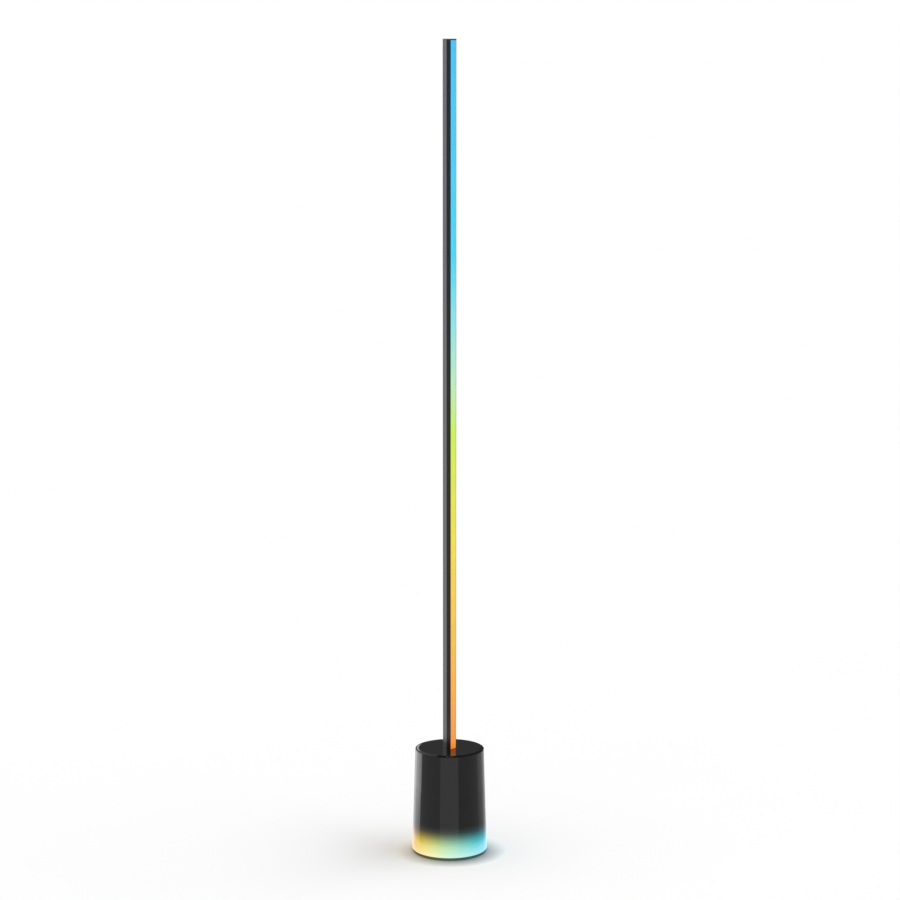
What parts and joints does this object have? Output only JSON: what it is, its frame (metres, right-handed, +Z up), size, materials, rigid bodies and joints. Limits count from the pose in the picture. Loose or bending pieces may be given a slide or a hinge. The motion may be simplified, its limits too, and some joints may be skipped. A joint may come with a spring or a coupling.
{
  "type": "floor lamp",
  "caption": "Free-standing corner floor lamp: a slim upright light bar rising from a tapered cylinder base that glows round its foot.",
  "frame": {"origin": "centre of the foot ring's underside, on the floor", "axes": "+Z up along the lamp's height, -Y towards the base's front, +Y towards the inlet and the button"},
  "size_m": [0.1344, 0.1344, 1.45],
  "materials": {
    "bar_metal": "dark satin anodised",
    "bar_cap": "fine matt",
    "bar_diffuser": "milky, lit",
    "strip_board": "white solder mask",
    "led_chip": "clear over phosphor",
    "tenon_metal": "milled",
    "steel": "zinc plated",
    "wire_sleeve": "soft satin",
    "smoked_shell": "smoked, high gloss, lit at the foot",
    "gloss_lid": "high gloss",
    "frame_plastic": "moulded matt",
    "opal_liner": "opal, lit",
    "circuit_board": "solder mask",
    "chip_plastic": "moulded",
    "capacitor_can": "drawn can",
    "connector_plastic": "natural nylon",
    "jack_plastic": "moulded",
    "contact_metal": "nickel plated",
    "button_plastic": "satin",
    "socket_metal": "as cast",
    "weight_iron": "cast, oiled",
    "tray_plastic": "moulded matt",
    "foot_rubber": "soft matt"
  },
  "bodies": {
    "lamp": {"bar_housing": "bar_metal", "bar_cap": "bar_cap", "bar_diffuser": "bar_diffuser", "led_strip": "strip_board", "bar_leds": "led_chip", "bar_tenon": "tenon_metal", "tenon_screws": "steel", "bar_wires": "wire_sleeve", "base_shell": "smoked_shell", "base_lid": "gloss_lid", "inner_frame": "frame_plastic", "glow_liner": "opal_liner", "glow_board": "circuit_board", "glow_leds": "led_chip", "glow_wires": "wire_sleeve", "control_board": "circuit_board", "control_chips": "chip_plastic", "control_capacitors": "capacitor_can", "bar_header": "connector_plastic", "board_screws": "steel", "rear_board": "circuit_board", "rear_board_screws": "steel", "dc_jack": "jack_plastic", "dc_jack_pin": "contact_metal", "button_switch": "jack_plastic", "power_wires": "wire_sleeve", "pole_socket": "socket_metal", "socket_screws": "steel", "draw_bolt": "steel", "counterweight": "weight_iron", "weight_screws": "steel", "base_tray": "tray_plastic", "frame_screws": "steel", "foot_ring": "foot_rubber"},
    "button": {"power_button": "button_plastic", "switch_plunger": "connector_plastic"}
  },
  "joints": [
    {"name": "power_press", "type": "slide", "parent": "lamp", "child": "button", "axis": [0, -1, 0], "range_m": [0, 0.001], "stiffness_N_per_m": 1200}
  ]
}
